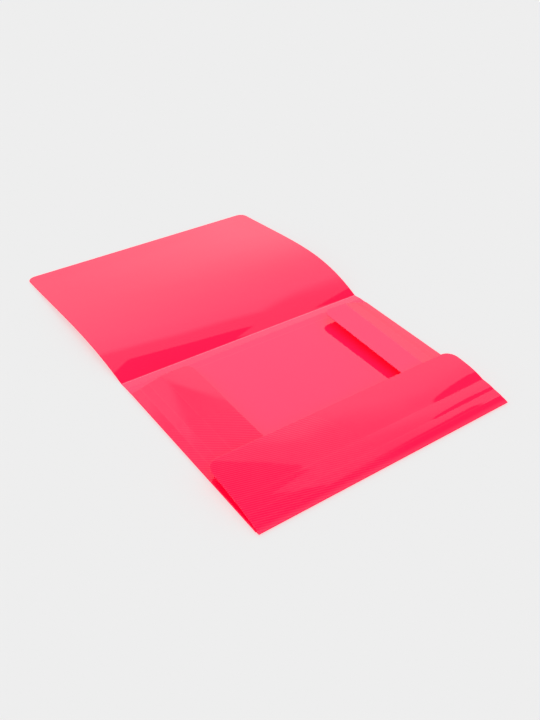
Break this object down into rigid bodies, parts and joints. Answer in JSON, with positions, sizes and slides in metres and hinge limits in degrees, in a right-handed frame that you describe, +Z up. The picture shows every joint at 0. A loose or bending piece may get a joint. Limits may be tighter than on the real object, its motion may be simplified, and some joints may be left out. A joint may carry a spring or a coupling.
{
  "type": "elastic folder",
  "caption": "Open three-flap folder of glossy translucent plastic sheet with scored gussets, folded-in flaps, a bowed cover and elastic corner bands.",
  "frame": {"origin": "on the table surface under the middle of the crease between the spine and the cover, which is the middle of the open folder", "axes": "+X along the spine from the tail flap to the head flap, +Y from the spine towards the opened cover, so the fore edge lies at -Y, +Z up from the table"},
  "size_m": [0.32, 0.488, 0.0182],
  "materials": {
    "sheet": "glossy translucent fluorescent pink-red sheet",
    "elastic": "woven elastic ribbon, matt",
    "eyelet": "nickel-plated, satin"
  },
  "bodies": {
    "back": {"back_cover": "sheet", "elastic_tail": "elastic", "elastic_head": "elastic", "eyelet_1": "eyelet", "eyelet_washer_1": "eyelet", "eyelet_2": "eyelet", "eyelet_washer_2": "eyelet", "eyelet_3": "eyelet", "eyelet_washer_3": "eyelet", "eyelet_4": "eyelet", "eyelet_washer_4": "eyelet"},
    "spine_inner": {"spine_inner": "sheet"},
    "spine_outer": {"spine_outer": "sheet"},
    "cover": {"front_cover": "sheet"},
    "fore_strip_1": {"fore_gusset_1": "sheet"},
    "fore_strip_2": {"fore_gusset_2": "sheet"},
    "fore_strip_3": {"fore_gusset_3": "sheet"},
    "fore_main": {"fore_flap": "sheet"},
    "head_strip_1": {"head_gusset_1": "sheet"},
    "head_strip_2": {"head_gusset_2": "sheet"},
    "head_strip_3": {"head_gusset_3": "sheet"},
    "head_main": {"head_flap": "sheet"},
    "tail_strip_1": {"tail_gusset_1": "sheet"},
    "tail_strip_2": {"tail_gusset_2": "sheet"},
    "tail_strip_3": {"tail_gusset_3": "sheet"},
    "tail_main": {"tail_flap": "sheet"}
  },
  "joints": [
    {"name": "spine_crease_back", "type": "hinge", "parent": "back", "child": "spine_inner", "pos_m": [-0.16, -0.02, 0.00135], "axis": [1, 0, 0], "range_deg": [0, 60]},
    {"name": "spine_crease_mid", "type": "hinge", "parent": "spine_inner", "child": "spine_outer", "pos_m": [-0.16, -0.01, 0.00135], "axis": [1, 0, 0], "range_deg": [0, 30]},
    {"name": "cover_fold", "type": "hinge", "parent": "spine_outer", "child": "cover", "pos_m": [-0.16, 0, 0.00025], "axis": [1, 0, 0], "range_deg": [0, 80]},
    {"name": "fore_fold", "type": "hinge", "parent": "back", "child": "fore_strip_1", "pos_m": [-0.16, -0.24335, 0.00175], "axis": [1, 0, 0], "range_deg": [0, 160]},
    {"name": "head_fold", "type": "hinge", "parent": "back", "child": "head_strip_1", "pos_m": [0.15935, -0.02, 0.00175], "axis": [0, 1, 0], "range_deg": [0, 160]},
    {"name": "tail_fold", "type": "hinge", "parent": "back", "child": "tail_strip_1", "pos_m": [-0.15935, -0.02, 0.00175], "axis": [0, -1, 0], "range_deg": [0, 160]},
    {"name": "fore_crease_1", "type": "hinge", "parent": "fore_strip_1", "child": "fore_strip_2", "pos_m": [-0.16, -0.23363, 0.00414], "axis": [-1, 0, 0], "range_deg": [-45, 0]},
    {"name": "head_crease_1", "type": "hinge", "parent": "head_strip_1", "child": "head_strip_2", "pos_m": [0.14979, -0.0208, 0.00473], "axis": [-0.0012, -1, -0.0049], "range_deg": [-45, 0]},
    {"name": "tail_crease_1", "type": "hinge", "parent": "tail_strip_1", "child": "tail_strip_2", "pos_m": [-0.14954, -0.0208, 0.00374], "axis": [-0.0007, 1, 0.0048], "range_deg": [-45, 0]},
    {"name": "fore_crease_2", "type": "hinge", "parent": "fore_strip_2", "child": "fore_strip_3", "pos_m": [-0.16, -0.22379, 0.00594], "axis": [-1, 0, 0], "range_deg": [-45, 0]},
    {"name": "head_crease_2", "type": "hinge", "parent": "head_strip_2", "child": "head_strip_3", "pos_m": [0.14031, -0.0208, 0.0079], "axis": [-0.0031, -0.9999, -0.0123], "range_deg": [-45, 0]},
    {"name": "tail_crease_2", "type": "hinge", "parent": "tail_strip_2", "child": "tail_strip_3", "pos_m": [-0.13983, -0.0208, 0.00615], "axis": [-0.0021, 0.9999, 0.0131], "range_deg": [-45, 0]},
    {"name": "fore_crease_3", "type": "hinge", "parent": "fore_strip_3", "child": "fore_main", "pos_m": [-0.16, -0.20752, 0.00866], "axis": [-1, 0, 0], "range_deg": [-45, 0]},
    {"name": "head_crease_3", "type": "hinge", "parent": "head_strip_3", "child": "head_main", "pos_m": [0.12445, -0.0208, 0.01245], "axis": [-0.0059, -0.9997, -0.0248], "range_deg": [-45, 0]},
    {"name": "tail_crease_3", "type": "hinge", "parent": "tail_strip_3", "child": "tail_main", "pos_m": [-0.12363, -0.0208, 0.00924], "axis": [-0.0035, 0.9997, 0.0238], "range_deg": [-45, 0]}
  ],
  "couplings": [
    {"joint": "head_fold", "follows": "fore_fold", "ratio": 1},
    {"joint": "tail_fold", "follows": "fore_fold", "ratio": 1},
    {"joint": "head_crease_1", "follows": "fore_crease_1", "ratio": 1},
    {"joint": "tail_crease_1", "follows": "fore_crease_1", "ratio": 1},
    {"joint": "head_crease_2", "follows": "fore_crease_2", "ratio": 1},
    {"joint": "tail_crease_2", "follows": "fore_crease_2", "ratio": 1},
    {"joint": "head_crease_3", "follows": "fore_crease_3", "ratio": 1},
    {"joint": "tail_crease_3", "follows": "fore_crease_3", "ratio": 1}
  ]
}
